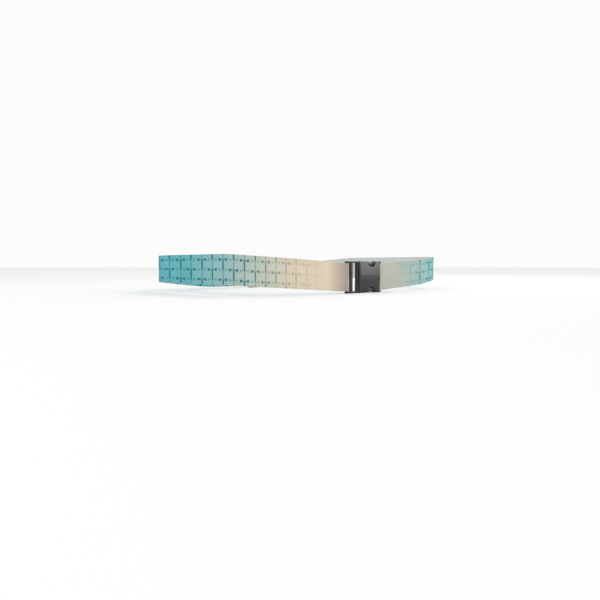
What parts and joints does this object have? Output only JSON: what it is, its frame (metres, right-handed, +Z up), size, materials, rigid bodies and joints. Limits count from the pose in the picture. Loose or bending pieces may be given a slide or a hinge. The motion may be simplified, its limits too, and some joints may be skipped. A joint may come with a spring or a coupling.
{
  "type": "luggage strap",
  "caption": "Closed loop of wide flat printed webbing that buckles round a suitcase, with a side-release buckle at the front and a sliding adjuster at the back.",
  "frame": {"origin": "under the middle of the bounding box, at the level of the lower edges of the buckle and the slider, on which the loop stands", "axes": "+X along the front run towards the socket half of the buckle, +Y from the buckle to the slider, +Z up across the webbing's width"},
  "size_m": [0.546, 0.3546, 0.0685],
  "materials": {
    "printed_webbing": "matt woven polyester with a printed pattern",
    "black_plastic": "satin moulded acetal",
    "sewing_thread": "polyester thread"
  },
  "bodies": {
    "strap": {"webbing_socket_run": "printed_webbing", "webbing_right_side": "printed_webbing", "webbing_back_run": "printed_webbing", "webbing_left_side": "printed_webbing", "webbing_front_run": "printed_webbing", "webbing_return_front": "printed_webbing", "webbing_return": "printed_webbing", "webbing_return_back": "printed_webbing", "socket_body": "black_plastic", "socket_seam": "sewing_thread"},
    "plug": {"plug_frame": "black_plastic", "webbing_plug_loop": "printed_webbing"},
    "upper_latch": {"latch_arm_upper": "black_plastic"},
    "lower_latch": {"latch_arm_lower": "black_plastic"},
    "slider": {"slider_frame": "black_plastic", "webbing_slider_loop": "printed_webbing", "slider_seam": "sewing_thread"}
  },
  "joints": [
    {"name": "plug_slide", "type": "slide", "parent": "strap", "child": "plug", "axis": [-1, 0, 0], "range_m": [0, 0.05], "deforming": ["webbing_front_run", "webbing_return_front", "latch_arm_upper", "latch_arm_lower"]},
    {"name": "upper_latch_press", "type": "hinge", "parent": "plug", "child": "upper_latch", "pos_m": [-0.0217, -0.17095, 0.0515], "axis": [0, 1, 0], "range_deg": [0, 9], "stiffness_Nm_per_rad": 0.5},
    {"name": "lower_latch_press", "type": "hinge", "parent": "plug", "child": "lower_latch", "pos_m": [-0.0217, -0.17095, 0.0055], "axis": [0, -1, 0], "range_deg": [0, 9], "stiffness_Nm_per_rad": 0.5},
    {"name": "slider_slide", "type": "slide", "parent": "strap", "child": "slider", "axis": [1, 0, 0], "range_m": [-0.06, 0.1], "deforming": ["webbing_return_back"]}
  ]
}
